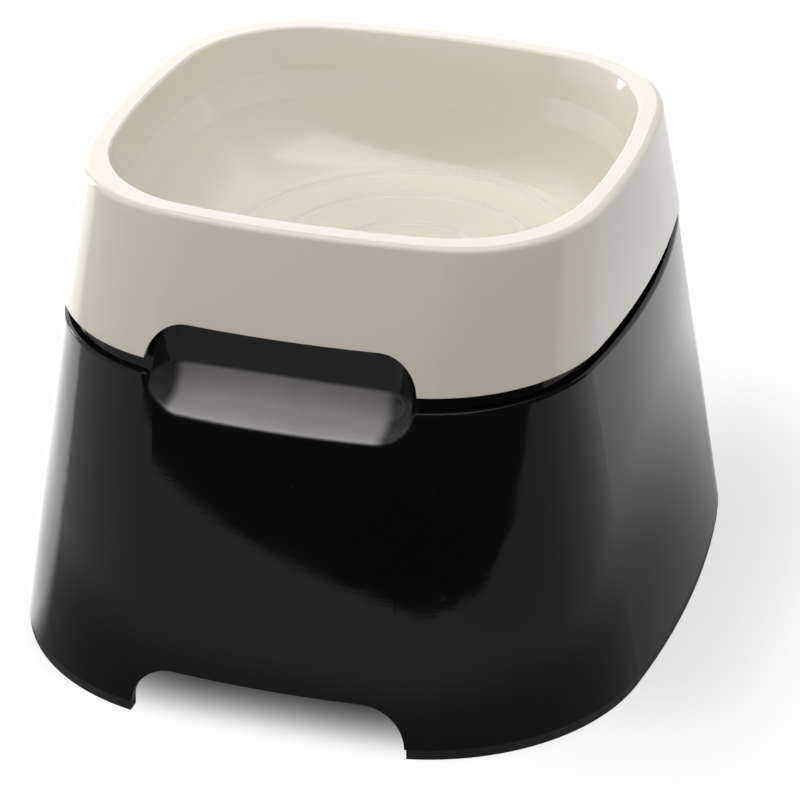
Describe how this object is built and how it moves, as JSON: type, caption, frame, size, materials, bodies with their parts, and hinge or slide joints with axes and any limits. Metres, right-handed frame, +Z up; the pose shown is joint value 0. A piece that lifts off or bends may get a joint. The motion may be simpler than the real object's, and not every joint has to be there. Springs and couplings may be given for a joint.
{
  "type": "raised pet water bowl",
  "caption": "Raised pet water bowl: a rounded-square bowl with a flared skirt drops over a hollow flared base, with finger pockets for lifting it out.",
  "frame": {"origin": "centre of the object's bounding box in plan, at the surface it stands on", "axes": "+X to the right and -Y towards the front, as seen from the side the picture shows; +Z up through the rim"},
  "size_m": [0.24, 0.261, 0.1765],
  "materials": {
    "bowl_plastic": "glossy cream moulded plastic, smooth all over",
    "base_plastic": "high-gloss black moulded plastic, satin inside the finger pockets",
    "strip_rubber": "matte black rubber"
  },
  "bodies": {
    "root": {"bowl": "bowl_plastic", "base": "base_plastic", "anti_slip_strip_left": "strip_rubber", "anti_slip_strip_right": "strip_rubber"}
  },
  "joints": []
}
